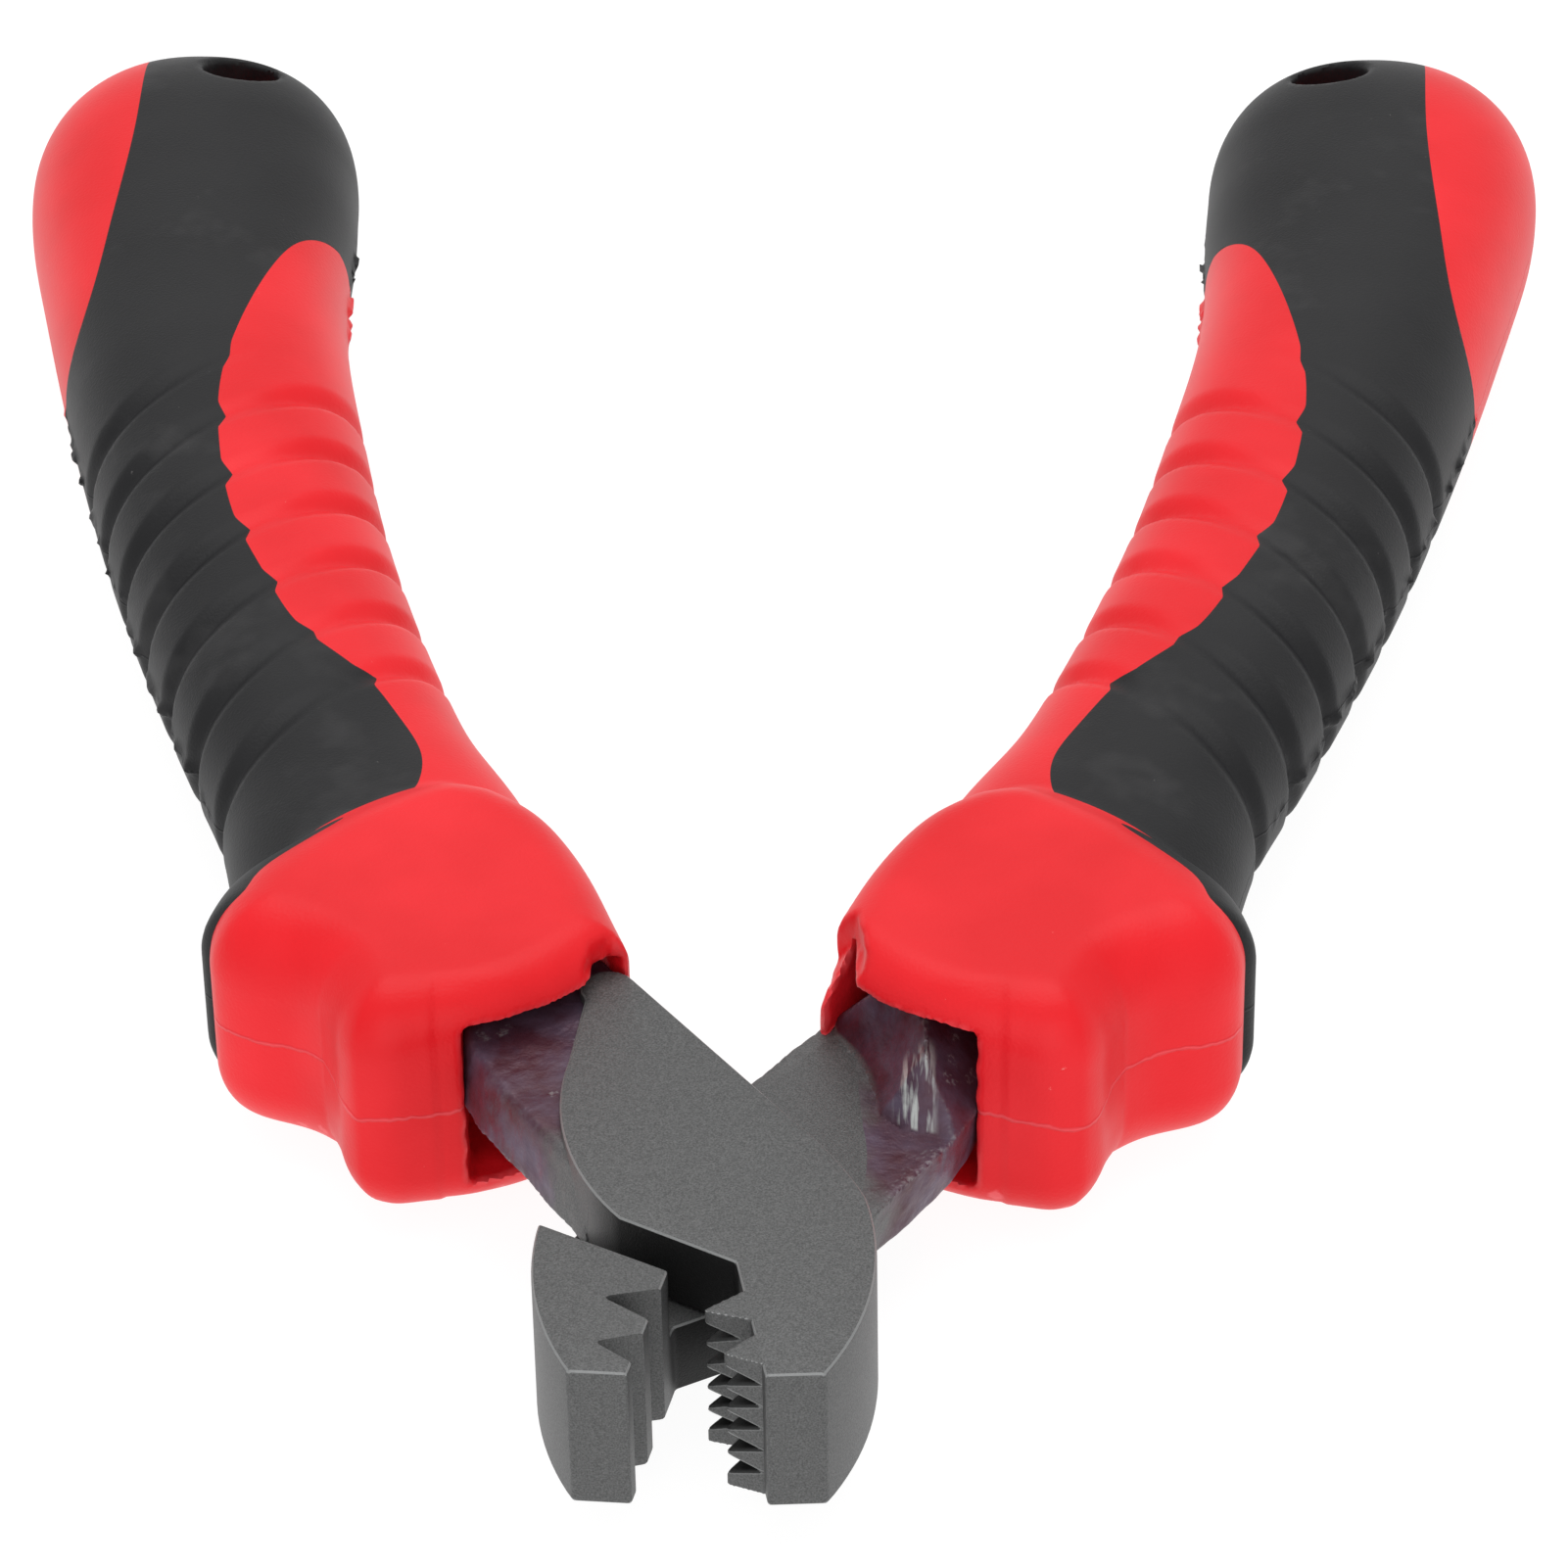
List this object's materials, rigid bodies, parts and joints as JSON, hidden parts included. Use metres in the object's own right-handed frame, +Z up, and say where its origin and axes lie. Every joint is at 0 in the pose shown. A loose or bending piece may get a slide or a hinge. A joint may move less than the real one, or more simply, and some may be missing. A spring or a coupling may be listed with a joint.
{
  "type": "crimping pliers",
  "caption": "Short sleeve-crimping pliers with lapped forged jaws, toothed crimp nests, finger-stop guards and two-colour moulded grips.",
  "frame": {"origin": "on the table under the middle of the open tool's length and width", "axes": "+Y from the jaws to the handle ends, +Z up through the pivot rivet, X across the handles"},
  "size_m": [0.0942, 0.1304, 0.0156],
  "materials": {
    "forged_steel": "matte ground steel, dark forged arms",
    "hard_plastic": "satin red moulding",
    "soft_rubber": "matte black soft grip"
  },
  "bodies": {
    "upper_half": {"upper_lever": "forged_steel", "pivot_rivet": "forged_steel", "left_grip_core": "hard_plastic", "left_grip_overmould": "soft_rubber"},
    "lower_half": {"lower_lever": "forged_steel", "right_grip_core": "hard_plastic", "right_grip_overmould": "soft_rubber"}
  },
  "joints": [
    {"name": "pivot", "type": "hinge", "parent": "upper_half", "child": "lower_half", "pos_m": [0, -0.04901, 0.0078], "axis": [0, 0, 1], "range_deg": [-8, 22.5]}
  ]
}
